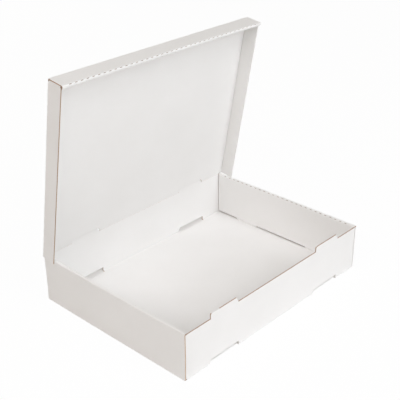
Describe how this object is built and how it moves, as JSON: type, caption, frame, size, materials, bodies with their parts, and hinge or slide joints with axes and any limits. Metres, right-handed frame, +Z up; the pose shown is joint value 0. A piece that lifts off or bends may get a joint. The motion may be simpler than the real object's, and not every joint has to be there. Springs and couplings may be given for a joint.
{
  "type": "pastry box",
  "caption": "Shallow pastry box folded from fluted board, with rolled side walls locked into the floor, stacking lugs and slots, and a flanged lid hinged on the back wall.",
  "frame": {"origin": "middle of the tray's underside, where the box rests", "axes": "+X to the box's right, +Y from the front wall to the hinge, +Z up"},
  "size_m": [0.4076, 0.295, 0.375],
  "materials": {
    "white_board": "matte white liner on fluted kraft board"
  },
  "bodies": {
    "tray": {"tray": "white_board"},
    "lid": {"lid": "white_board"}
  },
  "joints": [
    {"name": "lid_hinge", "type": "hinge", "parent": "tray", "child": "lid", "pos_m": [0, 0.1467, 0.0791], "axis": [-1, 0, 0], "range_deg": [-80, 100]}
  ]
}
